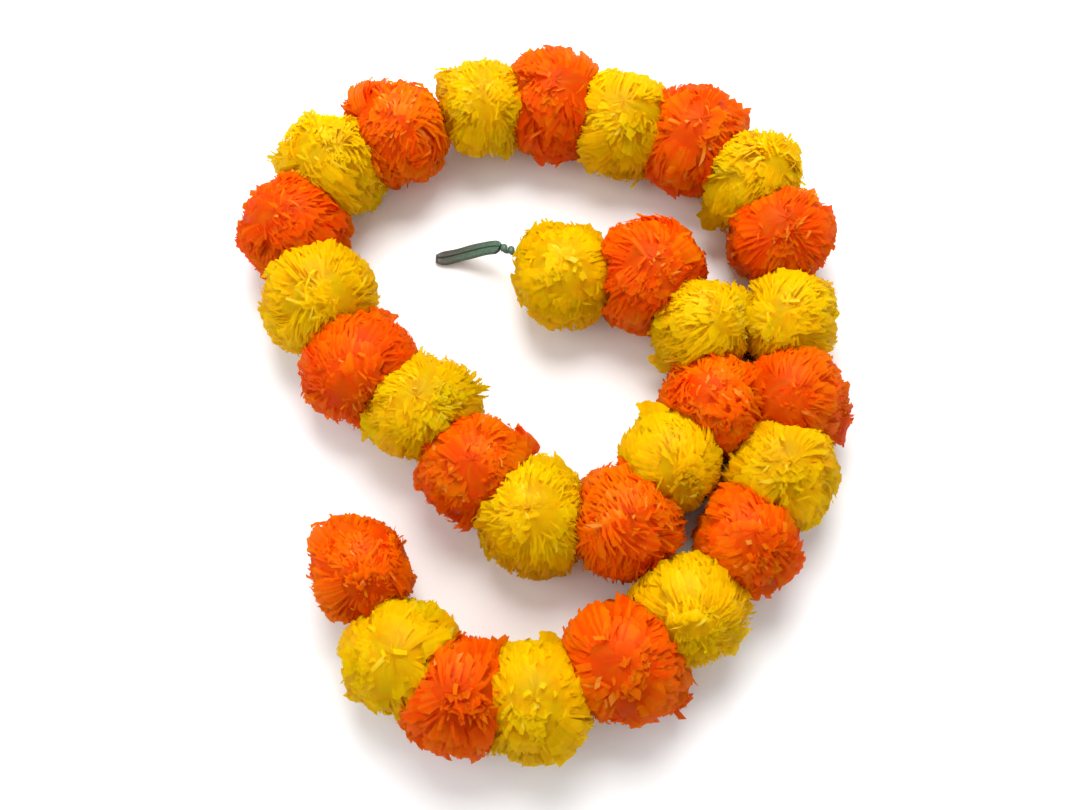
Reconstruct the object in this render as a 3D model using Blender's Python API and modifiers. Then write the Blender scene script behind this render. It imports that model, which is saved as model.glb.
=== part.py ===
"""Artificial marigold garland: thirty pompom blooms, yellow and orange by turns, threaded on one cord.

The garland lies curled on a table. Units are metres, +Z is up, and the origin is on the table under
the middle of the object. Each bloom is a spool-shaped core on the cord, and its petals are strips of
film that fan out of the core. Blooms that press on each other are flattened where they meet.
"""

import math
import random

import bmesh
import bpy
from mathutils import Matrix, Vector
from mathutils.geometry import interpolate_bezier

MM = 0.001

# Where the blooms lie: x, y and diameter of each, in millimetres, from the loop's end to the free end.
BLOOMS_MM = (
    (16, 72, 68),
    (71, 70, 78),
    (104, 38, 70),
    (109, -15, 70),
    (82, -51, 66),
    (53, -90, 72),
    (-6, -86, 72),
    (-40, -57, 70),
    (-75, -18, 72),
    (-114, 9, 74),
    (-143, 56, 76),
    (-161, 105, 72),
    (-137, 150, 72),
    (-95, 172, 74),
    (-37, 191, 66),
    (9, 195, 76),
    (54, 180, 72),
    (104, 167, 74),
    (139, 140, 70),
    (156, 98, 72),
    (158, 40, 66),
    (159, -10, 68),
    (150, -58, 70),
    (126, -100, 70),
    (90, -142, 72),
    (50, -174, 78),
    (-3, -196, 74),
    (-48, -192, 74),
    (-84, -171, 72),
    (-108, -118, 68),
)

# Where each bloom's outline bulges or is dented: the bearing in degrees, turned from +X towards +Y,
# how far in shares of its radius, and how wide in degrees. The ring of bearings is tilted a little.
LOBES = (
    ((55, 0.10, 15), (135, 0.15, 30)),
    ((45, -0.10, 30), (135, 0.10, 15)),
    ((80, -0.15, 30), (220, 0.10, 15)),
    ((70, -0.15, 30),),
    ((115, 0.15, 15),),
    ((340, -0.20, 15),),
    ((75, 0.10, 15), (205, -0.15, 15), (305, 0.15, 30)),
    ((25, 0.20, 15), (185, 0.10, 30)),
    ((15, 0.15, 30), (200, 0.10, 30), (270, -0.10, 30)),
    ((210, 0.15, 15),),
    (),
    ((110, -0.15, 15), (170, 0.10, 30), (225, -0.10, 15)),
    ((115, 0.10, 15), (200, -0.15, 15), (305, 0.10, 30)),
    ((125, 0.15, 15),),
    ((145, 0.20, 15), (265, -0.10, 15), (295, 0.20, 15)),
    (),
    ((270, 0.10, 15),),
    ((60, 0.10, 15),),
    ((50, 0.15, 15), (230, 0.15, 15)),
    ((35, 0.10, 30), (175, -0.10, 15), (330, -0.15, 15)),
    ((40, 0.15, 15), (340, 0.10, 15)),
    ((140, -0.10, 15), (310, 0.20, 15), (345, 0.10, 15)),
    ((90, -0.10, 30), (300, 0.10, 15)),
    ((160, -0.15, 30), (300, 0.15, 15)),
    ((0, 0.10, 15),),
    ((255, -0.10, 30), (325, 0.15, 15), (350, 0.10, 15)),
    ((315, -0.20, 30),),
    (),
    ((50, 0.10, 15), (215, 0.10, 15)),
    ((15, -0.20, 30), (140, 0.20, 30), (225, -0.10, 15)),
)
LOBE_TILT = math.radians(15)

COLOURS = ("yellow", "orange")
SEED = 1000

# The cord and the height at which it runs through the blooms.
CORD_HEIGHT = 31 * MM
CORD_RADIUS = 1.0 * MM
CORD_END = 6 * MM
END_KNOT_RADIUS = 2.4 * MM

# The core of a bloom: an ellipsoid with flat ends and a hole along its axis.
CORE_RADIUS = 21 * MM
CORE_HALF_LENGTH = 14.5 * MM
HOLE_RADIUS = 1.5 * MM
POLE_ANGLE = math.radians(24)

# The petals: one on each face of the core, PETALS_ROUND round the axis in PETAL_ROWS rows.
PETALS_ROUND = 9
PETAL_ROWS = 5
ROW_STAGGER = math.radians(13)
PETAL_THICKNESS = 0.9 * MM
PRESSED_THICKNESS = 3 * MM
PETAL_SPREAD = 0.44
SHORTEST_PETAL = 0.90
LONGEST_PETAL = 1.02
SLANT = 0.06
BARREL = 0.14

# Half of the clear gap that parts two blooms where they press on each other.
HALF_GAP = 0.2 * MM

# The hanging loop of green ribbon, and the wound knot that ties it to the cord.
KNOT_FROM_MM = (-16.5, 89.5, 27)
KNOT_TO_MM = (-26, 94.5, 22)
LOOP_END_MM = (-69, 95, 1.5)
LOOP_PULL = 10 * MM
KNOT_RADIUS = 3.0 * MM
KNOT_TURNS = 4
KNOT_SIDES = 10
RIBBON_WIDTH = 9.0 * MM
RIBBON_NECK = 4.6 * MM
RIBBON_THICKNESS = 0.8 * MM
RIBBON_CREASE = 0.5 * MM
RIBBON_GAP = 1.0 * MM
RIBBON_STATIONS = 7
CLEARANCE = 0.3 * MM

PETAL_COLOURS = {"yellow": (0.90, 0.60, 0.005, 1.0), "orange": (0.90, 0.13, 0.002, 1.0)}
GREEN = (0.045, 0.13, 0.07, 1.0)
CORD_COLOUR = (0.75, 0.70, 0.58, 1.0)


def clear_scene():
    for old in list(bpy.data.objects):
        bpy.data.objects.remove(old, do_unlink=True)


def material(name, colour, roughness):
    made = bpy.data.materials.new(name)
    made.use_nodes = True
    surface = made.node_tree.nodes["Principled BSDF"]
    surface.inputs["Base Color"].default_value = colour
    surface.inputs["Roughness"].default_value = roughness
    surface.inputs["Metallic"].default_value = 0.0
    made.diffuse_color = colour
    return made


def add_object(name, data, collection, look, matrix=None):
    made = bpy.data.objects.new(name, data)
    data.materials.append(look)
    collection.objects.link(made)
    if matrix is not None:
        made.matrix_world = matrix
    return made


def in_fixed_order(bm):
    """The same mesh, with its points and faces listed by place, so that each run gives the same petals."""
    places = {vert: tuple(round(value / MM, 3) for value in vert.co) for vert in bm.verts}
    verts = sorted(bm.verts, key=places.get)
    number = {vert: index for index, vert in enumerate(verts)}
    loops = []
    for face in bm.faces:
        loop = [number[vert] for vert in face.verts]
        first = loop.index(min(loop))
        loops.append(loop[first:] + loop[:first])
    ordered = bmesh.new()
    corners = [ordered.verts.new(Vector(places[vert]) * MM) for vert in verts]
    for loop in sorted(loops):
        ordered.faces.new([corners[index] for index in loop])
    bm.free()
    return ordered


def turned(profile, sides):
    """Spins a closed profile of (radius, height) points round Z into a ring-shaped solid."""
    bm = bmesh.new()
    corners = [bm.verts.new((radius, 0, height)) for radius, height in profile]
    edges = [bm.edges.new((a, b)) for a, b in zip(corners, corners[1:] + corners[:1])]
    bmesh.ops.spin(
        bm,
        geom=corners + edges,
        cent=(0, 0, 0),
        axis=(0, 0, 1),
        angle=2 * math.pi,
        steps=sides,
        use_merge=True,
    )
    bmesh.ops.recalc_face_normals(bm, faces=bm.faces)
    return in_fixed_order(bm)


def frame_along(axis, place):
    """The matrix that puts local +Z along a direction, at a place."""
    return Matrix.Translation(place) @ axis.to_track_quat("Z", "Y").to_matrix().to_4x4()


def core_profile():
    """The half outline of the core: its outer rings from pole to pole, then the two ends of the hole."""
    rings = []
    for row in range(PETAL_ROWS + 1):
        polar = POLE_ANGLE + (math.pi - 2 * POLE_ANGLE) * row / PETAL_ROWS
        across = math.cos(polar) / CORE_HALF_LENGTH
        around = math.sin(polar) / CORE_RADIUS
        reach = 1 / math.hypot(across, around)
        rings.append((reach * math.sin(polar), reach * math.cos(polar)))
    end = rings[0][1]
    return rings + [(HOLE_RADIUS, -end), (HOLE_RADIUS, end)]


def stagger(bm, rings):
    """Turns every other ring of the core a little, so that petals of neighbouring rows aren't in line."""
    for ring, (_, height) in enumerate(rings):
        turn = Matrix.Rotation(ROW_STAGGER * (ring % 2), 3, "Z")
        for vert in bm.verts:
            outside = math.hypot(vert.co.x, vert.co.y) > 2 * HOLE_RADIUS
            if outside and abs(vert.co.z - height) < 0.01 * MM:
                vert.co = turn @ vert.co


def held_in(point, walls):
    """The point drawn towards the bloom's centre until it is inside every wall."""
    for normal, distance in walls:
        beyond = point.dot(normal)
        if beyond > distance:
            point = point * (distance / beyond)
    return point


def lobes_of(index, to_local):
    """The lobes of one bloom in its own frame: the direction, share and width of each."""
    lobes = []
    for bearing, share, width in LOBES[index]:
        turn = math.radians(bearing)
        away = math.sin(turn)
        towards = Vector((math.cos(turn), away * math.cos(LOBE_TILT), away * math.sin(LOBE_TILT)))
        lobes.append((to_local @ towards, share, math.radians(width)))
    return lobes


def lobed(tip, lobes):
    """The tip of a petal moved out or in where the bloom's outline bulges or is dented."""
    stretch = 1.0
    for towards, share, width in lobes:
        stretch += share * math.exp(-((tip.angle(towards) / width) ** 2))
    return tip * stretch


def across_face(corners, u, v):
    """The direction from the centre to a place on a face, by its two coordinates from 0 to 1."""
    near = corners[0].lerp(corners[1], u)
    far = corners[3].lerp(corners[2], u)
    return near.lerp(far, v).normalized()


def shape_petal(face, reach, lobes, walls, down, draw):
    """Moves the four corners of a raised face to the cut end of a petal: a thin, slanted, flared strip."""
    roots = [vert.co.copy() for vert in face.verts]
    roll = draw.uniform(-0.24, 0.74) * math.pi
    steep = roll > math.pi / 4
    half = PETAL_SPREAD / max(abs(math.cos(roll)), abs(math.sin(roll)))
    ends = []
    for side in (1, -1):
        u = 0.5 + side * half * math.cos(roll)
        v = 0.5 + side * half * math.sin(roll)
        cut = 1 + side * draw.uniform(-SLANT, SLANT)
        way = across_face(roots, u, v)
        ends.append(lobed(way * reach * cut * (1 + BARREL * way.z**2), lobes))
    middle = (ends[0] + ends[1]).normalized()
    pressed = held_in(middle * reach, [down]) != middle * reach
    thickness = PRESSED_THICKNESS if pressed else PETAL_THICKNESS
    aside = middle.cross(ends[0] - ends[1]).normalized() * thickness / 2
    tips = [ends[0] - aside, ends[0] + aside, ends[1] + aside, ends[1] - aside]
    first = 2 if steep else 1
    for step, tip in enumerate(tips):
        face.verts[(first + step) % 4].co = held_in(tip, walls)


def bloom_mesh(name, radius, lobes, walls, down, draw):
    """One bloom in its own frame, with the cord's line along Z."""
    profile = core_profile()
    rings = profile[: PETAL_ROWS + 1]
    bm = turned(profile, PETALS_ROUND)
    stagger(bm, rings)
    bmesh.ops.recalc_face_normals(bm, faces=bm.faces)
    inner = rings[0][0] * 0.98
    outer = [f for f in bm.faces if all(math.hypot(v.co.x, v.co.y) > inner for v in f.verts)]
    raised = bmesh.ops.extrude_discrete_faces(bm, faces=outer)["faces"]
    for face in raised:
        reach = radius * draw.uniform(SHORTEST_PETAL, LONGEST_PETAL)
        shape_petal(face, reach, lobes, walls, down, draw)
    bmesh.ops.recalc_face_normals(bm, faces=bm.faces)
    mesh = bpy.data.meshes.new(name)
    bm.to_mesh(mesh)
    bm.free()
    return mesh


def walls_round(index, centres, to_local):
    """The planes midway to every other bloom near this one, then the table, in the bloom's own frame."""
    walls = []
    for other, place in enumerate(centres):
        apart = place - centres[index]
        if other != index and apart.length < 0.1:
            walls.append((to_local @ apart.normalized(), apart.length / 2 - HALF_GAP))
    down = (to_local @ Vector((0, 0, -1)), CORD_HEIGHT)
    return walls + [down], down


def add_blooms(centres, axes, collection):
    looks = {name: material(name + "_petal_film", PETAL_COLOURS[name], 0.45) for name in COLOURS}
    for index, (centre, axis) in enumerate(zip(centres, axes)):
        colour = COLOURS[index % 2]
        name = f"bloom_{index + 1:02d}_{colour}"
        place = frame_along(axis, centre)
        to_local = place.to_3x3().inverted()
        walls, down = walls_round(index, centres, to_local)
        radius = BLOOMS_MM[index][2] * MM / 2
        draw = random.Random(SEED + index)
        mesh = bloom_mesh(name, radius, lobes_of(index, to_local), walls, down, draw)
        add_object(name, mesh, collection, looks[colour], place)


def add_cord(centres, axes, knot_from, knot_to, collection):
    """The cord runs straight through each core and bends between blooms. It ends in a stopper knot."""
    route = [(knot_from.lerp(knot_to, 0.85), 1.0), (knot_from, 1.0)]
    for centre, axis in zip(centres, axes):
        route.append((centre - axis * CORE_HALF_LENGTH, 1.0))
        route.append((centre + axis * CORE_HALF_LENGTH, 1.0))
    fat = END_KNOT_RADIUS / CORD_RADIUS
    last, axis = centres[-1], axes[-1]
    for beyond, thick in ((0.1, 1.0), (0.2, fat), (0.75, fat), (0.9, 1.0), (1.0, 1.0)):
        route.append((last + axis * (CORE_HALF_LENGTH + beyond * CORD_END), thick))
    data = bpy.data.curves.new("cord", "CURVE")
    data.dimensions = "3D"
    data.bevel_depth = CORD_RADIUS
    data.bevel_resolution = 2
    data.use_fill_caps = True
    spline = data.splines.new("POLY")
    spline.points.add(len(route) - 1)
    for point, (place, thick) in zip(spline.points, route):
        point.co = (*place, 1)
        point.radius = thick
    add_object("cord", data, collection, material("cord_thread", CORD_COLOUR, 0.8))


def add_loop_knot(knot_from, knot_to, collection, look):
    """The ribbon's own end, wound round the cord in a few turns."""
    length = (knot_to - knot_from).length
    profile = []
    for turn in range(KNOT_TURNS):
        for share, bulge in ((0.0, 0.86), (0.3, 1.0), (0.7, 1.0)):
            profile.append((KNOT_RADIUS * bulge, length * (turn + share) / KNOT_TURNS))
    profile.append((KNOT_RADIUS * 0.86, length))
    profile.append((HOLE_RADIUS, length))
    profile.append((HOLE_RADIUS, 0))
    bm = turned(profile, KNOT_SIDES)
    mesh = bpy.data.meshes.new("loop_knot")
    bm.to_mesh(mesh)
    bm.free()
    add_object("loop_knot", mesh, collection, look, frame_along(knot_to - knot_from, knot_from))


def ribbon_width(share):
    """The ribbon is gathered at the knot and has its full width from a sixth of the way out."""
    opened = min(1.0, share * 6)
    return RIBBON_NECK + (RIBBON_WIDTH - RIBBON_NECK) * math.sin(opened * math.pi / 2)


def add_hanging_loop(knot_from, knot_to, end, collection, look):
    """A ribbon doubled back on itself: out along the lower run, round the fold, back along the upper."""
    leaving = (knot_to - knot_from).normalized()
    start = knot_to + leaving * (CLEARANCE + RIBBON_THICKNESS)
    lying = Vector((start.x - end.x, start.y - end.y, 0)).normalized()
    line = interpolate_bezier(
        start, start + leaving * LOOP_PULL, end + lying * LOOP_PULL, end, RIBBON_STATIONS
    )
    lower, upper = [], []
    for step, place in enumerate(line):
        share = step / (RIBBON_STATIONS - 1)
        onward = line[min(step + 1, len(line) - 1)] - line[max(step - 1, 0)]
        across = onward.cross(Vector((0, 0, 1))).normalized()
        above = across.cross(onward).normalized()
        apart = above * (RIBBON_GAP + RIBBON_THICKNESS) / 2
        half = across * ribbon_width(share) / 2
        lower.append((place - apart, half, above * RIBBON_CREASE * 0.4))
        upper.append((place + apart, half, above * -RIBBON_CREASE))
    fold = (end - lying * RIBBON_GAP, half * 0.94, Vector((0, 0, 0)))
    bm = bmesh.new()
    rows = []
    for place, half, crease in lower + [fold] + upper[::-1]:
        row = []
        for side in (-1, -0.5, 0, 0.5, 1):
            row.append(bm.verts.new(place + half * side + crease * (1 - abs(side))))
        rows.append(row)
    for near, far in zip(rows, rows[1:]):
        for a, b, c, d in zip(near, near[1:], far[1:], far):
            bm.faces.new((a, b, c, d))
    bmesh.ops.recalc_face_normals(bm, faces=bm.faces)
    mesh = bpy.data.meshes.new("hanging_loop")
    bm.to_mesh(mesh)
    bm.free()
    made = add_object("hanging_loop", mesh, collection, look)
    shell = made.modifiers.new("thickness", "SOLIDIFY")
    shell.thickness = RIBBON_THICKNESS
    shell.offset = 0


def main():
    clear_scene()
    garland = bpy.data.collections.new("marigold_garland")
    bpy.context.scene.collection.children.link(garland)
    centres = [Vector((x * MM, y * MM, CORD_HEIGHT)) for x, y, _ in BLOOMS_MM]
    knot_from, knot_to, loop_end = (
        Vector(place) * MM for place in (KNOT_FROM_MM, KNOT_TO_MM, LOOP_END_MM)
    )
    before = Vector((knot_from.x, knot_from.y, CORD_HEIGHT))
    after = centres[-1] * 2 - centres[-2]
    line = [before] + centres + [after]
    axes = [(far - near).normalized() for near, far in zip(line, line[2:])]
    add_blooms(centres, axes, garland)
    add_cord(centres, axes, knot_from, knot_to, garland)
    green = material("green_ribbon", GREEN, 0.55)
    add_loop_knot(knot_from, knot_to, garland, green)
    add_hanging_loop(knot_from, knot_to, loop_end, garland, green)


main()
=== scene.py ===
"""The looks of a marigold garland: film pompoms with cut strips, a ribbon loop, its knot and the studio.

All lengths are in metres and in the frame's own axes. The blooms' places repeat those of the frame.
"""

import math

import bpy
import numpy as np
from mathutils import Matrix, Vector
from mathutils.geometry import interpolate_bezier


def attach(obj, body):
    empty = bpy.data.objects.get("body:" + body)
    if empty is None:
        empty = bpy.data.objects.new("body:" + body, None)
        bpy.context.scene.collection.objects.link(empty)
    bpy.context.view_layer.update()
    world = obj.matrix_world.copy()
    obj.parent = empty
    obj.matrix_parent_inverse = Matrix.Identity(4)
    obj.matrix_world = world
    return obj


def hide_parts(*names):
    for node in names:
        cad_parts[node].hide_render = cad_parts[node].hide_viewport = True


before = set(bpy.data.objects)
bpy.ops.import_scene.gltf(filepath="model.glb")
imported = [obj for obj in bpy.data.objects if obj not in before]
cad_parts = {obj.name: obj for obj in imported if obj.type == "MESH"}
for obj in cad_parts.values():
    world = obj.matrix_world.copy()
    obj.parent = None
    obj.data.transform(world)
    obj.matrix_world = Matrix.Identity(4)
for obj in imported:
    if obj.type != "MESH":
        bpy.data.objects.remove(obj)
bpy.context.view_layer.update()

MM = 0.001

# Where the blooms lie: x, y and diameter of each, in millimetres, from the loop's end to the free end.
BLOOMS_MM = (
    (16, 72, 68),
    (71, 70, 78),
    (104, 38, 70),
    (109, -15, 70),
    (82, -51, 66),
    (53, -90, 72),
    (-6, -86, 72),
    (-40, -57, 70),
    (-75, -18, 72),
    (-114, 9, 74),
    (-143, 56, 76),
    (-161, 105, 72),
    (-137, 150, 72),
    (-95, 172, 74),
    (-37, 191, 66),
    (9, 195, 76),
    (54, 180, 72),
    (104, 167, 74),
    (139, 140, 70),
    (156, 98, 72),
    (158, 40, 66),
    (159, -10, 68),
    (150, -58, 70),
    (126, -100, 70),
    (90, -142, 72),
    (50, -174, 78),
    (-3, -196, 74),
    (-48, -192, 74),
    (-84, -171, 72),
    (-108, -118, 68),
)

# Where each bloom's outline bulges or is dented: the bearing in degrees, turned from +X towards +Y,
# how far in shares of its radius, and how wide in degrees. The ring of bearings is tilted a little.
LOBES = (
    ((55, 0.10, 15), (135, 0.15, 30)),
    ((45, -0.10, 30), (135, 0.10, 15)),
    ((80, -0.15, 30), (220, 0.10, 15)),
    ((70, -0.15, 30),),
    ((115, 0.15, 15),),
    ((340, -0.20, 15),),
    ((75, 0.10, 15), (205, -0.15, 15), (305, 0.15, 30)),
    ((25, 0.20, 15), (185, 0.10, 30)),
    ((15, 0.15, 30), (200, 0.10, 30), (270, -0.10, 30)),
    ((210, 0.15, 15),),
    (),
    ((110, -0.15, 15), (170, 0.10, 30), (225, -0.10, 15)),
    ((115, 0.10, 15), (200, -0.15, 15), (305, 0.10, 30)),
    ((125, 0.15, 15),),
    ((145, 0.20, 15), (265, -0.10, 15), (295, 0.20, 15)),
    (),
    ((270, 0.10, 15),),
    ((60, 0.10, 15),),
    ((50, 0.15, 15), (230, 0.15, 15)),
    ((35, 0.10, 30), (175, -0.10, 15), (330, -0.15, 15)),
    ((40, 0.15, 15), (340, 0.10, 15)),
    ((140, -0.10, 15), (310, 0.20, 15), (345, 0.10, 15)),
    ((90, -0.10, 30), (300, 0.10, 15)),
    ((160, -0.15, 30), (300, 0.15, 15)),
    ((0, 0.10, 15),),
    ((255, -0.10, 30), (325, 0.15, 15), (350, 0.10, 15)),
    ((315, -0.20, 30),),
    (),
    ((50, 0.10, 15), (215, 0.10, 15)),
    ((15, -0.20, 30), (140, 0.20, 30), (225, -0.10, 15)),
)
LOBE_TILT = math.radians(15)

# Where a few strips stand out past a bloom: its number, their bearing in degrees in the same ring,
# and how far in millimetres.
SPRAYS = (
    (1, 112, 4),
    (2, 352, 4),
    (3, 195, 5),
    (6, 266, 10),
    (8, 30, 4),
    (9, 20, 4),
    (12, 35, 4),
    (13, 174, 6),
    (14, 318, 4),
    (15, 122, 5),
    (15, 232, 10),
    (19, 35, 6),
    (19, 244, 6),
    (20, 352, 5),
    (21, 12, 4),
    (22, 15, 5),
    (25, 168, 6),
    (25, 356, 6),
    (26, 322, 9),
    (26, 345, 7),
    (28, 292, 8),
    (30, 38, 6),
    (30, 4, 6),
)
SPRAY_WIDTH = math.radians(10)
SPRAY_SHARES = (0.3, 1.0)
SPRAY_LEAN = 0.3

COLOURS = ("yellow", "orange")
CORD_HEIGHT = 31 * MM
SEED = 40

# How each bloom's film is combed: where its whorl shows, to the right and upwards in radii,
# how wide its strips are in millimetres, how many tufts they form, how tousled they lie,
# and how much of the film is whole sheet rather than strips.
STYLES = (
    (0.10, 0.00, 3.4, 50, 0.25, 0.80),
    (0.10, 0.15, 2.4, 60, 0.35, 0.72),
    (0.65, 0.25, 1.7, 80, 0.20, 0.52),
    (0.10, 0.10, 2.1, 70, 0.60, 0.67),
    (0.20, -0.55, 1.9, 80, 0.20, 0.62),
    (0.10, 0.00, 1.8, 80, 0.60, 0.62),
    (0.00, 0.10, 1.8, 80, 0.30, 0.67),
    (0.10, -0.10, 2.2, 60, 0.40, 0.70),
    (0.35, 0.30, 1.6, 90, 0.25, 0.57),
    (-0.10, -0.50, 2.0, 60, 0.30, 0.75),
    (0.40, -0.30, 1.7, 80, 0.20, 0.62),
    (-0.50, 0.20, 2.0, 60, 0.30, 0.67),
    (-0.25, 0.25, 1.9, 80, 0.55, 0.62),
    (0.00, 0.35, 1.9, 80, 0.60, 0.57),
    (0.10, 0.10, 1.7, 80, 0.40, 0.62),
    (0.10, 0.15, 2.4, 50, 0.35, 0.80),
    (0.10, 0.00, 2.0, 70, 0.45, 0.67),
    (0.00, 0.05, 2.0, 50, 0.45, 0.75),
    (0.50, 0.50, 1.8, 70, 0.30, 0.67),
    (-0.10, 0.00, 1.8, 80, 0.40, 0.67),
    (-0.45, 0.00, 1.7, 80, 0.25, 0.62),
    (-0.40, -0.10, 1.8, 70, 0.30, 0.67),
    (-0.30, 0.15, 2.2, 50, 0.25, 0.80),
    (0.10, -0.10, 2.8, 54, 0.35, 0.75),
    (0.00, -0.35, 1.7, 80, 0.35, 0.62),
    (-0.10, 0.10, 4.0, 44, 0.30, 0.85),
    (0.00, 0.10, 2.8, 50, 0.30, 0.80),
    (0.10, 0.15, 2.2, 56, 0.40, 0.75),
    (-0.20, 0.10, 2.6, 50, 0.25, 0.80),
    (0.20, -0.20, 1.7, 80, 0.55, 0.57),
)
VIEW_SLANT = 0.27

# A bloom's outline swells in slow waves, given by their turns and their size in radii.
# It is squeezed out sideways where a neighbour presses on it.
LUMPS = ((2.0, 0.010), (3.0, 0.012), (4.5, 0.015), (7.0, 0.020), (10.0, 0.015))
FULL_TURN = 6.3
SQUEEZE = 3.5
BARREL = 2.7

# The tufts in which the film leaves the cord, and how far they lean at some angles from the whorl.
TUFT_SHIFT = 0.08
TUFT_REACH = 0.93
TUFT_UNEVENNESS = 0.03
TOUSLED_UNEVENNESS = 0.04
WHORL_SIZE = 0.5
WHORL_TOUSLE = 0.8
COMB = 0.95
LEAN_ANGLES = (0, 0.5, 1.2, 1.7)
LEAN_THERE = (0.35, 1.0, 1.0, 0.5)
LEAN_RANGE = (0.55, 1.25)
LEAN_UNEVENNESS = 0.12
FAN_KEPT = 0.8
LAYERS = 0.13
ROOT = 0.50
RUN = 0.55
FILM_QUADS = 15500

# The pleated sheets: rows of points from root to edge, reach, width, ragged edge, pleats and crumples.
SHEET_ROWS = np.array((0.0, 0.5, 0.74, 0.9, 1.0))
SHEET_COLUMNS = 13
SHEET_WANDER = 0.10
SHEET_REACH = 0.965
SHEET_UNEVENNESS = 0.035
SHEET_WIDTH_MM = 82
SHEET_WIDTHS = (0.7, 1.2)
SHEET_ROOT_WIDTH = 0.35
NOTCHES = 0.06
RAGGED = (-0.05, 0.03)
ROUNDED = 0.16
PLEATS = 0.4 * MM
DISHED_MM = 2.5
SHEET_CRUMPLES = 0.3 * MM
PLEATS_DEEPEN = 0.7

# The cut strips: rows of points, reach, width, slanting cuts and curls. Most are on the bloom's crown,
# the half round its whorl, and some of those nearest to the whorl stray. On the sides they are fewer
# and shorter.
STRIP_ROWS = np.array((0.0, 0.45, 0.78, 1.0))
STRIPS_TRIED = 1.7
STRIP_FAN = 2.6
STRIP_WANDER = 0.22
CROWN_BELOW = 0.1
CROWN_RISE = 0.9
SIDE_STRIPS = 0.45
SIDE_SHORTER = 0.05
STRIP_REACH = 1.01
SHORTER = 0.035
STRAYS = 0.006
STRAYS_AT_WHORL = 0.05
STRAY_RANGE = 0.7
STRAY_LEAN = 0.5
STRAY_OUT = 0.09
TUFT_WIDTHS = (0.8, 1.2)
STRIP_WIDTHS = (0.55, 1.2)
STRIP_ROOT_WIDTH = 0.55
STRIP_WIDENING = 0.45
WIDENING_POWER = 0.8
CUT_SLANT = 0.04
CUT_ROUGHNESS = 0.015
CURLED = 0.10
CURL_FROM = 0.6
CURL = 3
DRIFT = 0.03
STRIP_CRUMPLES = 0.18 * MM

# The crumpled ball at the heart of a bloom.
CORE_RINGS = 14
CORE_SIDES = 26
CORE_POLE = 0.002
CORE_SHARE = 0.86
CORE_CRUMPLE = 0.025
# The core lies deep in the bloom and takes the darkest painted shade on the film's ramp.
CORE_OUT = 0.3

# How light the film is: by its bloom, its tuft and itself, with streaks along the sheets. Strips that
# stray get a painted highlight, and so do some cut ends, most of them near the whorl.
BLOOM_TONES = 0.25
TUFT_TONES = 0.6
FILM_TONES = 0.15
STREAKS = 0.45
STRAY_PAINTED_HIGHLIGHT = 0.5
PAINTED_GLINTS = 0.02
PAINTED_GLINTS_AT_WHORL = 0.16
PAINTED_GLINT_RANGE = 0.8
PAINTED_GLINT_TONE = 0.75
ROUNDNESS = 0.88

# How the strips of two blooms reach into each other, and how flat they lie on the table.
NEIGHBOUR_RANGE = 100 * MM
WALL_GIVE = 0.20
WALL_ROUGHNESS = 1.8 * MM
WALL_WAVES = ((150.0, 2.4 * MM), (310.0, 2.0 * MM), (560.0, 1.3 * MM))
TABLE_LAYER = 2.0 * MM
TABLE_THINNEST = 0.4

# The film's colours, from the painted shade at its root and its darker strips to its paler strips and the
# painted highlight at its ends, and how it takes the light.
FILM_RAMPS = {
    "yellow": (
        (0.0, (0.97, 0.50, 0.0)),
        (0.4, (1.0, 0.70, 0.0)),
        (0.8, (1.0, 0.84, 0.0)),
        (0.95, (1.0, 0.92, 0.08)),
    ),
    "orange": (
        (0.0, (0.98, 0.08, 0.0)),
        (0.4, (1.0, 0.155, 0.0)),
        (0.8, (1.0, 0.35, 0.0)),
        (0.95, (1.0, 0.52, 0.07)),
    ),
}
# Painted shade: how much darker the film is towards its roots, where light reaches less far into the bloom.
PAINTED_ROOT_SHADE = 0.40
LIGHTER_BY_TONE = 0.416
FILM_ROUGHNESS = 0.30
FILM_CRINKLES = 0.25
FILM_SHINE = 0.09
FILM_TRANSLUCENCE = 0.66

# The colours of the thread, the ribbon and the floor.
THREAD_RAMP = ((0.0, (0.52, 0.47, 0.36)), (1.0, (0.82, 0.78, 0.66)))
RIBBON_RAMP = ((0.3, (0.030, 0.072, 0.046)), (0.7, (0.075, 0.150, 0.100)))
BROWN_GREY_RAMP = ((0.3, (0.030, 0.029, 0.021)), (0.7, (0.066, 0.058, 0.043)))
# Painted shade: the dark line in the groove along the ribbon's middle.
CREASE_SHADE_COLOUR = (0.010, 0.018, 0.013, 1.0)
CREASE_SHADE_STRENGTH = 0.75
BLOTCHES = 0.5
FLOOR_RAMP = ((0.3, (0.86, 0.86, 0.86)), (0.7, (0.88, 0.88, 0.88)))

# The ribbon loop. Its two runs meet in a fold at its end, and it turns brown-grey towards that end.
KNOT_FROM = Vector((-16.5, 89.5, 27)) * MM
KNOT_TO = Vector((-26, 94.5, 22)) * MM
LOOP_END = Vector((-69, 95, 1.5)) * MM
LOOP_START = 0.2 * MM
LOOP_PULL = 10 * MM
LOOP_STEPS = 60
LOOP_COLUMNS = 25
LOOP_WAVE = 0.25 * MM
LOOP_WAVINESS = 17
RIBBON_WIDTH = 9.0 * MM
RIBBON_NECK = 4.6 * MM
RIBBON_OPENING = 9
RIBBON_CLOSES_FROM = 0.86
RIBBON_CLOSING = 7
RIBBON_THICKNESS = 0.45 * MM
RIBBON_GAP = 1.3 * MM
RIBBON_SWELL = 1.3 * MM
SWELL_SUNK = 0.4
FOLD_WIDTH = 0.95
FOLD_SWELL = 0.2
BROWN_GREY_GROWTH = 1.5
BROWN_GREY_FROM = 0.35
BROWN_GREY_ASIDE = 0.25
CREASE_WIDTH = 0.13

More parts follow.
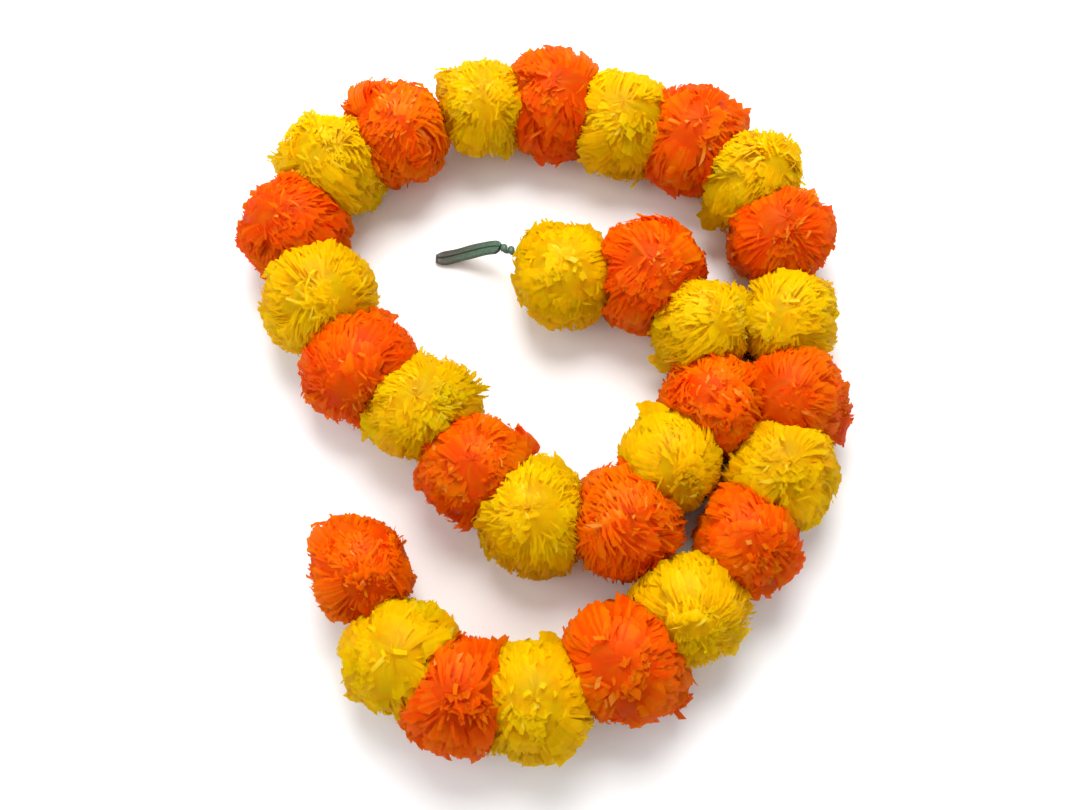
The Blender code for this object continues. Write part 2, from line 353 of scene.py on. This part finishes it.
# The knot: a thick strand wound round the cord, in a winding and a strand that both swell and narrow.
KNOT_TURNS = 2.0
KNOT_STEPS = 110
STRAND_RADIUS = 2.05 * MM
STRAND_ROUNDNESS = 4
WINDING_RADIUS = 0.95 * MM
NARROWEST = 0.85
SWELLING = 0.3

# The camera and the light. The lens makes 1200 pixels of focal length at a picture width of 1080.
CAMERA_TARGET = Vector((0, -15, 30)) * MM
CAMERA_ELEVATION = math.radians(75)
CAMERA_DISTANCE = 0.756
LENS_MM = 40
SENSOR_WIDTH_MM = 36
MAIN_LIGHT_PLACE = (0.0, 0.95, 1.35)
MAIN_LIGHT_POWER = 34
SIDE_LIGHT_PLACE = (-1.1, -0.1, 1.1)
SIDE_LIGHT_POWER = 6
LIGHT_SIZE = 1.0
LIGHT_ALL_ROUND = 0.70
FLOOR_HALF = 8.0
FLOOR_DROP = 0.3 * MM

# The numbers of a colour mix's sockets: its factor, its two colours and its result.
MIX_FACTOR = 0
MIX_FIRST = 6
MIX_SECOND = 7
MIX_RESULT = 2

NOISE_MEAN = 0.5
TINY = 1e-6
TINY_AREA = 1e-12


def unit(v):
    """Vectors brought to length one."""
    return v / np.linalg.norm(v, axis=-1, keepdims=True)


def sphere_points(count):
    """Points spread evenly over the unit sphere, on a spiral."""
    step = np.arange(count) + 0.5
    height = 1 - 2 * step / count
    turn = step * math.pi * (1 + math.sqrt(5))
    across = np.sqrt(1 - height**2)
    return np.stack((across * np.cos(turn), across * np.sin(turn), height), axis=1)


def random_turn(rng):
    """A random rotation matrix."""
    q, r = np.linalg.qr(rng.normal(size=(3, 3)))
    return q * np.sign(np.diag(r))


def random_waves(rng, waves):
    """Gives each wave a random direction and start. The direction is scaled by the wave's turns."""
    return [(unit(rng.normal(size=3)) * turns, rng.uniform(0, FULL_TURN), size) for turns, size in waves]


def wave_height(points, waves):
    """How high the waves stand together at each point."""
    return sum(size * np.sin(points @ wave + start) for wave, start, size in waves)


def closeness(way, whorl, reach):
    """How close each direction is to the whorl: 1 at the whorl, and 0 from the given reach on."""
    return np.clip(1 - np.linalg.norm(way - whorl, axis=1) / reach, 0, 1)


def layout():
    """The blooms' centres and radii, as arrays."""
    table = np.array(BLOOMS_MM, float) * MM
    centres = np.column_stack((table[:, :2], np.full(len(table), CORD_HEIGHT)))
    return centres, table[:, 2] / 2


def walls_of(index, centres):
    """The walls midway to the blooms near this one: normals, distances from its centre, and their waves.

    Both blooms of a pair see the same waves, so what bulges from one gives way in the other.
    """
    walls = []
    for other, place in enumerate(centres):
        apart = place - centres[index]
        far = np.linalg.norm(apart)
        if other == index or far > NEIGHBOUR_RANGE:
            continue
        pair = np.random.default_rng((min(index, other), max(index, other)))
        sign = 1 if index < other else -1
        waves = random_waves(pair, [(turns, sign * size) for turns, size in WALL_WAVES])
        walls.append((apart / far, far / 2, waves))
    return walls


def outline(rng, radius, walls):
    """How far the film reaches in a direction, as a share of the radius.

    It swells and dips slowly, and where a neighbour presses the bloom, the film is squeezed out
    sideways, so that the bloom is barrel-shaped.
    """
    lumps = random_waves(rng, LUMPS)

    def reach(way):
        barrel = np.ones(len(way))
        for normal, distance, _ in walls:
            pressed = min(max((1 - distance / radius) * SQUEEZE, 0), 1)
            facing = np.clip(way @ normal, 0, 1)
            across = np.sqrt(1 - facing**2)
            squeezed = (facing**BARREL + across**BARREL) ** (-1 / BARREL)
            barrel = np.maximum(barrel, 1 + pressed * (squeezed - 1))
        return (1 + wave_height(way, lumps)) * barrel

    return reach


def tuft_frames(rng, style):
    """The whorl, and for each tuft its direction, the way it is combed, how far it leans, and its reach."""
    right, up, _, count, tousle, _ = style
    tufts = sphere_points(count) @ random_turn(rng).T
    tufts = unit(tufts + rng.normal(0, TUFT_SHIFT, tufts.shape))
    whorl = unit(np.array((right, up - VIEW_SLANT, 1.0)))
    cosine = tufts @ whorl
    sine = np.sqrt(np.maximum(1 - cosine**2, TINY))
    combed = (tufts * cosine[:, None] - whorl) / sine[:, None]
    loose = tousle + WHORL_TOUSLE * np.clip(1 - sine / WHORL_SIZE, 0, 1)
    combed = combed + rng.normal(0, 1, (count, 3)) * loose[:, None]
    combed = unit(combed - tufts * np.sum(combed * tufts, axis=1, keepdims=True))
    from_whorl = np.arccos(np.clip(cosine, -1, 1))
    lean = COMB * np.interp(from_whorl, LEAN_ANGLES, LEAN_THERE) * rng.uniform(*LEAN_RANGE, count)
    reach = rng.normal(TUFT_REACH, TUFT_UNEVENNESS + TOUSLED_UNEVENNESS * tousle, count)
    return whorl, tufts, combed, lean, reach


def spread_out(rng, frames, count, spread, wander):
    """For each of many strips or sheets: its direction, the way it leans, how far, and its tuft."""
    _, tufts, combed, lean, _ = frames
    tuft = np.arange(count) % len(tufts)
    side = np.cross(tufts, combed)[tuft]
    fan = rng.uniform(-spread, spread, count)
    layer = rng.normal(0, LAYERS, count)
    way = unit(tufts[tuft] + side * fan[:, None] + combed[tuft] * layer[:, None])
    course = combed[tuft] + side * (fan * FAN_KEPT)[:, None] + rng.normal(0, wander, (count, 3))
    course = unit(course - way * np.sum(course * way, axis=1, keepdims=True))
    return way, course, lean[tuft] + rng.normal(0, LEAN_UNEVENNESS, count), tuft


def laid(way, course, reach, lean, along, sides, fold, curl=0.0):
    """The points of strips or sheets, from how far each leans, reaches, spreads sideways and folds.

    Each rises from the heart of the bloom. One that leans bends over until it lies along the surface.
    """
    flat = np.clip(lean, 0, 1)
    rise = (1 - flat) * along + flat * np.sin(np.minimum(along, 1) * math.pi / 2)
    bend = flat * np.minimum(along, 1) * math.pi / 2
    turn = lean * RUN * along**2 + curl
    away = reach * (ROOT + (1 - ROOT) * rise) - fold * np.sin(bend)
    aside = fold * np.cos(bend)
    outward = way[:, None, None] * np.cos(turn)[..., None] + course[:, None, None] * np.sin(turn)[..., None]
    onward = course[:, None, None] * np.cos(turn)[..., None] - way[:, None, None] * np.sin(turn)[..., None]
    across = np.cross(way, course)[:, None, None]
    return outward * away[..., None] + onward * aside[..., None] + across * sides[..., None]


def sheet_points(rng, radius, style, frames, swell):
    """Broad pleated sheets with a ragged outer edge. An array of sheets, rows, columns and xyz."""
    _, _, _, tufts, _, share = style
    count = int(FILM_QUADS * share / ((len(SHEET_ROWS) - 1) * (SHEET_COLUMNS - 1)))
    way, course, lean, tuft = spread_out(rng, frames, count, 1.0 / math.sqrt(tufts), SHEET_WANDER)
    rows = SHEET_ROWS.reshape(1, -1, 1)
    columns = np.linspace(-1, 1, SHEET_COLUMNS).reshape(1, 1, -1)
    lean = lean.reshape(-1, 1, 1)
    reach = radius * swell(way) * frames[4][tuft] * rng.normal(SHEET_REACH, SHEET_UNEVENNESS, count)
    reach = reach.reshape(-1, 1, 1)
    notches = rng.normal(0, NOTCHES, (count, 1, SHEET_COLUMNS + 2))
    notches = (notches[..., :-2] + notches[..., 1:-1] + notches[..., 2:]) / 2
    ragged = notches + rng.uniform(*RAGGED, (count, 1, SHEET_COLUMNS))
    rounded = -ROUNDED * np.abs(columns) ** 3
    along = rows + (ragged + rounded) * rows**4
    half = SHEET_WIDTH_MM / math.sqrt(tufts) * MM * rng.uniform(*SHEET_WIDTHS, (count, 1, 1))
    sides = columns * half * (SHEET_ROOT_WIDTH + (1 - SHEET_ROOT_WIDTH) * rows)
    pleats = rng.normal(0, PLEATS, (count, 1, SHEET_COLUMNS))
    pleats = pleats - rng.uniform(0.0, DISHED_MM, (count, 1, 1)) * MM * columns**2
    crumples = rng.normal(0, SHEET_CRUMPLES, (count, len(SHEET_ROWS), SHEET_COLUMNS))
    fold = (pleats + crumples) * rows**PLEATS_DEEPEN
    return laid(way, course, reach, lean, along, sides, fold), tuft


def towards(bearing):
    """The direction of a bearing in the tilted ring round a bloom."""
    turn = math.radians(bearing)
    ring = np.array((1, math.cos(LOBE_TILT), math.sin(LOBE_TILT)))
    return ring * (math.cos(turn), math.sin(turn), math.sin(turn))


def strip_points(rng, radius, style, frames, swell, sprays):
    """Narrow cut strips. An array of strips, rows, columns and xyz.

    With it come the tuft of each strip and whether it strays.
    """
    _, _, width_mm, tufts, _, share = style
    whorl = frames[0]
    count = int(FILM_QUADS * (1 - share) / (len(STRIP_ROWS) - 1) * STRIPS_TRIED)
    way, course, lean, tuft = spread_out(rng, frames, count, STRIP_FAN / math.sqrt(tufts), STRIP_WANDER)
    crown = np.clip((way @ whorl + CROWN_BELOW) / CROWN_RISE, 0, 1)
    side = SIDE_STRIPS * (1 - share)
    kept = rng.uniform(0, 1, count) < side + (1 - side) * crown
    way, course, lean, tuft, crown = (values[kept] for values in (way, course, lean, tuft, crown))
    count = len(way)
    strays = STRAYS + STRAYS_AT_WHORL * closeness(way, whorl, STRAY_RANGE)
    stray = rng.uniform(0, 1, count) < strays
    turned = unit(np.cross(way, rng.normal(0, 1, (count, 3))))
    course = np.where(stray[:, None], turned, course)

    def each(low, high):
        return rng.uniform(low, high, (count, 1, 1))

    rows = STRIP_ROWS.reshape(1, -1, 1)
    columns = np.array((-1.0, 1.0)).reshape(1, 1, -1)
    lean = np.where(stray, STRAY_LEAN * lean, lean).reshape(-1, 1, 1)
    curl = np.where(each(0, 1) < CURLED, each(-1.0, 1.0), 0)
    curl = curl * np.clip(rows - CURL_FROM, 0, 1) ** 2 * CURL
    reach = radius * swell(way) * frames[4][tuft]
    short = np.abs(rng.normal(0, SHORTER, count)) + SIDE_SHORTER * (1 - crown)
    reach = reach * (STRIP_REACH - short * ~stray + stray * rng.uniform(0.0, STRAY_OUT, count))
    for bearing, out in sprays:
        chosen = np.arccos(np.clip(way @ towards(bearing), -1, 1)) < SPRAY_WIDTH
        reach = reach + chosen * rng.uniform(*SPRAY_SHARES, count) * out * MM
        lean = np.where(chosen[:, None, None], SPRAY_LEAN * lean, lean)
    reach = reach.reshape(-1, 1, 1)
    cut = each(-CUT_SLANT, CUT_SLANT) * columns + rng.normal(0, CUT_ROUGHNESS, (count, 1, 2))
    along = (1 + 2 * cut * rows**3) * rows
    half = width_mm / 2 * MM * rng.uniform(*TUFT_WIDTHS, tufts)[tuft].reshape(-1, 1, 1)
    half = half * each(*STRIP_WIDTHS)
    drift = rng.normal(0, DRIFT, (count, 1, 1)) * reach * rows**2
    sides = columns * half * (STRIP_ROOT_WIDTH + STRIP_WIDENING * rows**WIDENING_POWER) + drift
    fold = rng.normal(0, STRIP_CRUMPLES, (count, len(STRIP_ROWS), 2)) * rows
    return laid(way, course, reach, lean, along, sides, fold, curl), tuft, stray


def lobed(points, lobes):
    """Moves points out or in where the bloom's outline bulges or is dented."""
    way = unit(points)
    stretch = np.ones(points.shape[:-1])
    for bearing, share, width in lobes:
        apart = np.arccos(np.clip(way @ towards(bearing), -1, 1)) / math.radians(width)
        stretch = stretch + share * np.exp(-(apart**2))
    return points * stretch[..., None]


def press(points, rng, walls, centre):
    """Presses the strips against the neighbouring blooms and the table, which they give to a little."""
    rough = rng.normal(0, 1, (len(points), 1, 1)) * WALL_ROUGHNESS
    for normal, distance, waves in walls:
        wavy = wave_height(points + centre, waves)
        beyond = points @ normal - (distance + rough + wavy)
        points = points - np.maximum(beyond, 0)[..., None] * (1 - WALL_GIVE) * normal
    height = points[..., 2] + centre[2]
    thickness = rng.uniform(0, 1, (len(points), 1, 1))
    layer = TABLE_LAYER * (TABLE_THINNEST + (1 - TABLE_THINNEST) * thickness)
    squeezed = layer * np.exp(np.minimum(height / layer - 1, 0))
    points[..., 2] = np.where(height < layer, squeezed, height) - centre[2]
    return points


def grid_faces(count, rows, columns):
    """The quads of many strips, each a grid of points."""
    r, c = np.meshgrid(np.arange(rows - 1), np.arange(columns - 1), indexing="ij")
    first = (r * columns + c).reshape(-1)
    quad = np.stack((first, first + 1, first + columns + 1, first + columns), axis=1)
    starts = np.arange(count).reshape(-1, 1, 1) * rows * columns
    return (quad[None] + starts).reshape(-1, 4)


def core_mesh(rng, radius, lobes, walls, centre):
    """A crumpled ball of film at the heart of the bloom, pressed like the strips. Its points and quads."""
    polar = np.linspace(CORE_POLE, math.pi - CORE_POLE, CORE_RINGS)
    turn = np.arange(CORE_SIDES) / CORE_SIDES * 2 * math.pi
    p, t = np.meshgrid(polar, turn, indexing="ij")
    ball = np.stack((np.sin(p) * np.cos(t), np.sin(p) * np.sin(t), np.cos(p)), axis=-1)
    ball = ball.reshape(-1, 1, 1, 3)
    crumple = 1 + rng.normal(0, CORE_CRUMPLE, (len(ball), 1, 1, 1))
    ball = lobed(ball * radius * CORE_SHARE * crumple, lobes)
    points = press(ball, rng, walls, centre).reshape(-1, 3)
    ring, side = np.meshgrid(np.arange(CORE_RINGS - 1), np.arange(CORE_SIDES), indexing="ij")
    onward = (side + 1) % CORE_SIDES
    low, high = ring * CORE_SIDES, (ring + 1) * CORE_SIDES
    faces = np.stack((low + side, high + side, high + onward, low + onward), axis=-1)
    return points, faces.reshape(-1, 4)


def mesh_of(name, points, faces):
    """A mesh object from arrays of points and quads."""
    mesh = bpy.data.meshes.new(name)
    mesh.vertices.add(len(points))
    mesh.vertices.foreach_set("co", points.astype(np.float32).ravel())
    mesh.loops.add(faces.size)
    mesh.loops.foreach_set("vertex_index", faces.astype(np.int32).ravel())
    mesh.polygons.add(len(faces))
    mesh.polygons.foreach_set("loop_start", np.arange(len(faces), dtype=np.int32) * 4)
    mesh.update(calc_edges=True)
    made = bpy.data.objects.new(name, mesh)
    bpy.context.scene.collection.objects.link(made)
    return made


def turned_out(points):
    """The strips, each with its columns in the order that makes its face look outwards."""
    along = points[:, -1, 0] - points[:, 1, 0]
    across = points[:, -2, -1] - points[:, -2, 0]
    inward = np.sum(np.cross(across, along) * points[:, -2, 0], axis=1) < 0
    points[inward] = points[inward][:, :, ::-1]
    return points


def soften(mesh, points, faces):
    """Shades each facet partly as itself and partly as the round bloom.

    Thin film looks like that, because light passes through it.
    """
    corners = points[faces]
    facet = np.cross(corners[:, 2] - corners[:, 0], corners[:, 3] - corners[:, 1])
    facet = facet / np.maximum(np.linalg.norm(facet, axis=1, keepdims=True), TINY_AREA)
    outward = unit(corners)
    side = np.where(np.sum(facet * outward.mean(axis=1), axis=1) < 0, -1.0, 1.0)
    normals = facet[:, None] * (1 - ROUNDNESS) + outward * side[:, None, None] * ROUNDNESS
    mesh.shade_smooth()
    mesh.normals_split_custom_set(unit(normals).reshape(-1, 3))


def point_values(mesh, name, values):
    """Gives each point of a mesh a value that its material reads."""
    made = mesh.attributes.new(name, "FLOAT", "POINT")
    made.data.foreach_set("value", values.astype(np.float32))


def add_bloom(index, centres, radii, looks):
    """One pompom, which stands for the frame's node of the same number and colour."""
    rng = np.random.default_rng(SEED + index)
    colour = COLOURS[index % 2]
    style = STYLES[index]
    lobes = LOBES[index]
    radius, centre, walls = radii[index], centres[index], walls_of(index, centres)
    frames, swell = tuft_frames(rng, style), outline(rng, radius, walls)
    whorl, tufts = frames[:2]
    sheets, sheet_tuft = sheet_points(rng, radius, style, frames, swell)
    sprays = [(bearing, out) for number, bearing, out in SPRAYS if number == index + 1]
    strips, strip_tuft, stray = strip_points(rng, radius, style, frames, swell, sprays)
    core, core_faces = core_mesh(rng, radius, lobes, walls, centre)
    tuft_tone = rng.uniform(0, TUFT_TONES, len(tufts))
    bloom_tone = rng.uniform(0, BLOOM_TONES)
    # Painted highlight: stray strips and some cut ends, most of them near the whorl, are made paler.
    glint_chances = PAINTED_GLINTS + PAINTED_GLINTS_AT_WHORL * closeness(unit(strips[:, -1, 0]), whorl, PAINTED_GLINT_RANGE)
    painted_glint = rng.uniform(0, 1, len(strips)) < glint_chances
    pale = stray * STRAY_PAINTED_HIGHLIGHT + painted_glint * PAINTED_GLINT_TONE
    points, faces, tones, outs, start = [], [], [], [], 0
    for grids, tuft, extra, streaks, share in (
        (sheets, sheet_tuft, 0, STREAKS, SHEET_ROWS),
        (strips, strip_tuft, pale, 0, STRIP_ROWS),
    ):
        grids = turned_out(press(lobed(grids, lobes), rng, walls, centre))
        count, rows, columns = grids.shape[:3]
        tone = rng.uniform(0, FILM_TONES, count) + tuft_tone[tuft] + bloom_tone + extra
        streaky = tone.reshape(-1, 1, 1) + streaks * rng.uniform(-1, 1, (count, 1, columns))
        points.append(grids.reshape(-1, 3))
        faces.append(grid_faces(count, rows, columns) + start)
        tones.append(np.repeat(streaky, rows, axis=1).reshape(-1))
        # The painted shade along each strip or sheet: 0 at the root, where it is darkest, to 1 at its end.
        outs.append(np.tile(np.repeat(share, columns), count))
        start += len(points[-1])
    points.append(core)
    faces.append(core_faces + start)
    tones.append(rng.uniform(0, 1, len(core)))
    outs.append(np.full(len(core), CORE_OUT))
    points, faces = np.concatenate(points), np.concatenate(faces)
    made = mesh_of(f"film_bloom_{index + 1:02d}", points, faces)
    soften(made.data, points, faces)
    point_values(made.data, "tone", np.concatenate(tones))
    point_values(made.data, "out", np.concatenate(outs))
    made.location = Vector(centre)
    made.data.materials.append(looks[colour])
    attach(made, "root")
    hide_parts(f"bloom_{index + 1:02d}_{colour}")


class Nodes:
    """A small helper that adds shader nodes and links them."""

    def __init__(self, name):
        self.material = bpy.data.materials.new(name)
        self.material.use_nodes = True
        self.tree = self.material.node_tree
        self.tree.nodes.clear()

    def feed(self, socket, value):
        """Links a socket to another node's output, or gives it a plain value."""
        if isinstance(value, bpy.types.NodeSocket):
            self.tree.links.new(value, socket)
        else:
            socket.default_value = value

    def add(self, kind, **inputs):
        made = self.tree.nodes.new(kind)
        for name, value in inputs.items():
            self.feed(made.inputs[name.replace("_", " ")], value)
        return made

    def attribute(self, name):
        made = self.tree.nodes.new("ShaderNodeAttribute")
        made.attribute_name = name
        return made.outputs["Fac"]

    def coordinates(self):
        return self.tree.nodes.new("ShaderNodeTexCoord").outputs["Object"]

    def math(self, operation, a, b, clamp=False):
        made = self.tree.nodes.new("ShaderNodeMath")
        made.operation = operation
        made.use_clamp = clamp
        for socket, value in zip(made.inputs, (a, b)):
            self.feed(socket, value)
        return made.outputs[0]

    def ramp(self, share, stops):
        made = self.tree.nodes.new("ShaderNodeValToRGB")
        points = made.color_ramp.elements
        while len(points) < len(stops):
            points.new(0.5)
        for point, (place, colour) in zip(points, stops):
            point.position = place
            point.color = (*colour, 1.0)
        self.tree.links.new(share, made.inputs["Fac"])
        return made.outputs["Color"]

    def mix(self, share, first, second):
        made = self.tree.nodes.new("ShaderNodeMix")
        made.data_type = "RGBA"
        self.feed(made.inputs[MIX_FACTOR], share)
        self.feed(made.inputs[MIX_FIRST], first)
        self.feed(made.inputs[MIX_SECOND], second)
        return made.outputs[MIX_RESULT]

    def noise(self, scale, detail=2.0):
        made = self.add("ShaderNodeTexNoise", Scale=scale, Detail=detail, Vector=self.coordinates())
        return made.outputs["Fac"]

    def bump(self, height, strength, distance):
        made = self.add("ShaderNodeBump", Strength=strength, Distance=distance, Height=height)
        return made.outputs["Normal"]

    def finish(self, surface):
        out = self.tree.nodes.new("ShaderNodeOutputMaterial")
        self.tree.links.new(surface, out.inputs["Surface"])
        return self.material


def film(colour):
    """Thin crinkled film, each strip a little lighter or darker, with painted shade that darkens it towards
    the root and painted highlight on a few pale ends.
    """
    n = Nodes(colour + "_film")
    # Painted shade: darker towards the root, lighter out at the ends.
    outer = n.math("MULTIPLY", n.attribute("out"), PAINTED_ROOT_SHADE)
    toned = n.math("MULTIPLY", n.attribute("tone"), LIGHTER_BY_TONE)
    base = n.ramp(n.math("ADD", outer, toned, clamp=True), FILM_RAMPS[colour])
    crinkle = n.noise(scale=520.0, detail=3.0)
    normal = n.bump(crinkle, strength=0.2, distance=0.6 * MM)
    matte = n.math("ADD", n.math("MULTIPLY", crinkle, FILM_CRINKLES), FILM_ROUGHNESS)
    front = n.add("ShaderNodeBsdfPrincipled", Base_Color=base, Roughness=matte, Normal=normal)
    n.feed(front.inputs["Specular IOR Level"], FILM_SHINE)
    behind = n.add("ShaderNodeBsdfTranslucent", Color=base, Normal=normal)
    both = n.add("ShaderNodeMixShader", Fac=FILM_TRANSLUCENCE)
    n.tree.links.new(front.outputs[0], both.inputs[1])
    n.tree.links.new(behind.outputs[0], both.inputs[2])
    return n.finish(both.outputs[0])


def plain_floor():
    """An even, pale and matte floor."""
    n = Nodes("floor")
    tint = n.ramp(n.noise(scale=3.0), FLOOR_RAMP)
    surface = n.add("ShaderNodeBsdfPrincipled", Base_Color=tint, Roughness=0.9)
    return n.finish(surface.outputs[0])


def thread():
    """Twisted thread: slanted strands, matte."""
    n = Nodes("cord_thread")
    wave = n.add("ShaderNodeTexWave", Scale=900.0, Distortion=1.5, Vector=n.coordinates())
    tint = n.ramp(wave.outputs["Fac"], THREAD_RAMP)
    normal = n.bump(wave.outputs["Fac"], strength=0.6, distance=0.3 * MM)
    surface = n.add("ShaderNodeBsdfPrincipled", Base_Color=tint, Roughness=0.85, Normal=normal)
    return n.finish(surface.outputs[0])


def green_ribbon():
    """Dull satin ribbon: fine streaks, painted shade in its middle groove, and brown-grey towards the far
    end.
    """
    n = Nodes("green_ribbon")
    streaks = n.noise(scale=900.0, detail=3.0)
    green_tint = n.ramp(streaks, RIBBON_RAMP)
    brown_grey_tint = n.ramp(streaks, BROWN_GREY_RAMP)
    blotches = n.math("MULTIPLY", n.math("SUBTRACT", n.noise(scale=160.0), NOISE_MEAN), BLOTCHES)
    tint = n.mix(n.math("ADD", n.attribute("brown_grey_share"), blotches, clamp=True), green_tint, brown_grey_tint)
    # Painted shade darkens the groove along the ribbon's middle.
    tint = n.mix(n.math("MULTIPLY", n.attribute("crease_shade"), CREASE_SHADE_STRENGTH), tint, CREASE_SHADE_COLOUR)
    normal = n.bump(streaks, strength=0.4, distance=0.4 * MM)
    surface = n.add("ShaderNodeBsdfPrincipled", Base_Color=tint, Roughness=0.42, Normal=normal)
    return n.finish(surface.outputs[0])


def ribbon_width(share):
    """The ribbon is gathered at the knot, has round shoulders, and its end is a little narrower."""
    opened = math.sin(min(1.0, share * RIBBON_OPENING) * math.pi / 2)
    closing = max(0.0, share - RIBBON_CLOSES_FROM) * RIBBON_CLOSING
    return RIBBON_NECK + (RIBBON_WIDTH - RIBBON_NECK) * (opened - closing**2 / 2)


def across_ribbon(side):
    """How far the ribbon's upper face stands up across its width: two soft rolls with a groove between."""
    return max(0.0, 1 - (2 * abs(side) - 1) ** 4) ** 0.5


def loop_rows():
    """The rows across the ribbon, out along its lower run, round the fold and back along its upper run.

    Each row has its middle, half its width, how far its face stands up, and its share of the way out.
    """
    leaving = (KNOT_TO - KNOT_FROM).normalized()
    start = KNOT_TO + leaving * LOOP_START
    lying = Vector((start.x - LOOP_END.x, start.y - LOOP_END.y, 0)).normalized()
    pulls = (start + leaving * LOOP_PULL, LOOP_END + lying * LOOP_PULL)
    line = interpolate_bezier(start, *pulls, LOOP_END, LOOP_STEPS)
    lower, upper = [], []
    for step, place in enumerate(line):
        share = step / (len(line) - 1)
        onward = line[min(step + 1, len(line) - 1)] - line[max(step - 1, 0)]
        across = onward.cross(Vector((0, 0, 1))).normalized()
        above = across.cross(onward).normalized()
        wave = LOOP_WAVE * math.sin(share * LOOP_WAVINESS) * share
        half = across * (ribbon_width(share) / 2 + wave)
        apart = above * (RIBBON_GAP + RIBBON_THICKNESS) / 2
        lower.append((place - apart, half, Vector((0, 0, 0)), share))
        sunk = above * RIBBON_SWELL * SWELL_SUNK
        upper.append((place + apart - sunk, half, above * RIBBON_SWELL, share))
    fold = (LOOP_END - lying * RIBBON_GAP, half * FOLD_WIDTH, above * RIBBON_SWELL * FOLD_SWELL, 1.0)
    return lower + [fold] + upper[::-1]


def add_loop(look):
    """The ribbon, doubled back on itself, with its upper run rolled to a groove along its middle."""
    rows = loop_rows()
    sides = np.linspace(-1, 1, LOOP_COLUMNS)
    points, brown_grey_share, crease_shade = [], [], []
    for place, half, swell, share in rows:
        for side in sides:
            points.append(place + half * side + swell * across_ribbon(side))
            brown_grey_share.append(min(1.0, max(0.0, share * BROWN_GREY_GROWTH - BROWN_GREY_FROM + BROWN_GREY_ASIDE * side)))
            # The painted shade in the groove, strongest along the ribbon's middle.
            crease_shade.append(math.exp(-((side / CREASE_WIDTH) ** 2)))
    made = mesh_of("ribbon_loop", np.array(points), grid_faces(1, len(rows), len(sides)))
    point_values(made.data, "brown_grey_share", np.array(brown_grey_share))
    point_values(made.data, "crease_shade", np.array(crease_shade))
    shell = made.modifiers.new("thickness", "SOLIDIFY")
    shell.thickness = RIBBON_THICKNESS
    shell.offset = 0
    made.data.shade_smooth()
    made.data.materials.append(look)
    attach(made, "root")
    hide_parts("hanging_loop")


def add_knot(look):
    """The ribbon's end, wound round the cord: a strand swept along a helix that swells and narrows."""
    along = KNOT_TO - KNOT_FROM
    axis = along.normalized()
    side = axis.orthogonal().normalized()
    other = axis.cross(side)
    data = bpy.data.curves.new("loop_binding", "CURVE")
    data.dimensions = "3D"
    data.bevel_depth = STRAND_RADIUS
    data.bevel_resolution = STRAND_ROUNDNESS
    data.use_fill_caps = True
    spline = data.splines.new("POLY")
    spline.points.add(KNOT_STEPS - 1)
    for step, point in enumerate(spline.points):
        share = step / (KNOT_STEPS - 1)
        angle = share * KNOT_TURNS * 2 * math.pi
        round_cord = side * math.cos(angle) + other * math.sin(angle)
        winding = WINDING_RADIUS * (NARROWEST + SWELLING * math.sin(share * 2 * math.pi) ** 2)
        point.co = (*(KNOT_FROM + along * share + round_cord * winding), 1)
        point.radius = NARROWEST + SWELLING * math.sin(share * KNOT_TURNS * math.pi) ** 2
    made = bpy.data.objects.new("loop_binding", data)
    bpy.context.scene.collection.objects.link(made)
    data.materials.append(look)
    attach(made, "root")
    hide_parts("loop_knot")


def add_camera():
    """The camera, from in front and high above, at the photo's viewing angle."""
    data = bpy.data.cameras.new("camera")
    data.lens = LENS_MM
    data.sensor_width = SENSOR_WIDTH_MM
    made = bpy.data.objects.new("camera", data)
    bpy.context.scene.collection.objects.link(made)
    back = Vector((0, -math.cos(CAMERA_ELEVATION), math.sin(CAMERA_ELEVATION)))
    made.location = CAMERA_TARGET + back * CAMERA_DISTANCE
    made.rotation_euler = (-back).to_track_quat("-Z", "Y").to_euler()
    bpy.context.scene.camera = made


def add_light(name, place, power):
    """A soft square light that shines on the middle of the object."""
    data = bpy.data.lights.new(name, "AREA")
    data.size = LIGHT_SIZE
    data.energy = power
    made = bpy.data.objects.new(name, data)
    made.location = place
    made.rotation_euler = (-Vector(place)).to_track_quat("-Z", "Y").to_euler()
    bpy.context.scene.collection.objects.link(made)


def add_studio():
    """A plain pale floor, a soft main light beyond the top of the picture, and weak light all round."""
    mesh = bpy.data.meshes.new("floor")
    s = FLOOR_HALF
    mesh.from_pydata([(-s, -s, 0), (s, -s, 0), (s, s, 0), (-s, s, 0)], [], [(0, 1, 2, 3)])
    floor = bpy.data.objects.new("floor", mesh)
    floor.location.z = -FLOOR_DROP
    bpy.context.scene.collection.objects.link(floor)
    mesh.materials.append(plain_floor())
    add_light("main_light", MAIN_LIGHT_PLACE, MAIN_LIGHT_POWER)
    add_light("side_light", SIDE_LIGHT_PLACE, SIDE_LIGHT_POWER)
    world = bpy.data.worlds.new("world")
    bpy.context.scene.world = world
    world.use_nodes = True
    background = world.node_tree.nodes["Background"]
    background.inputs["Color"].default_value = (1, 1, 1, 1)
    background.inputs["Strength"].default_value = LIGHT_ALL_ROUND
    bpy.context.scene.view_settings.view_transform = "Standard"


def main():
    """Sets up the studio, makes every bloom, the loop and its knot, and gives the cord its look."""
    add_camera()
    add_studio()
    centres, radii = layout()
    looks = {colour: film(colour) for colour in COLOURS}
    for index in range(len(centres)):
        add_bloom(index, centres, radii, looks)
    green = green_ribbon()
    add_loop(green)
    add_knot(green)
    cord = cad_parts["cord"]
    cord.data.materials.clear()
    cord.data.materials.append(thread())


main()
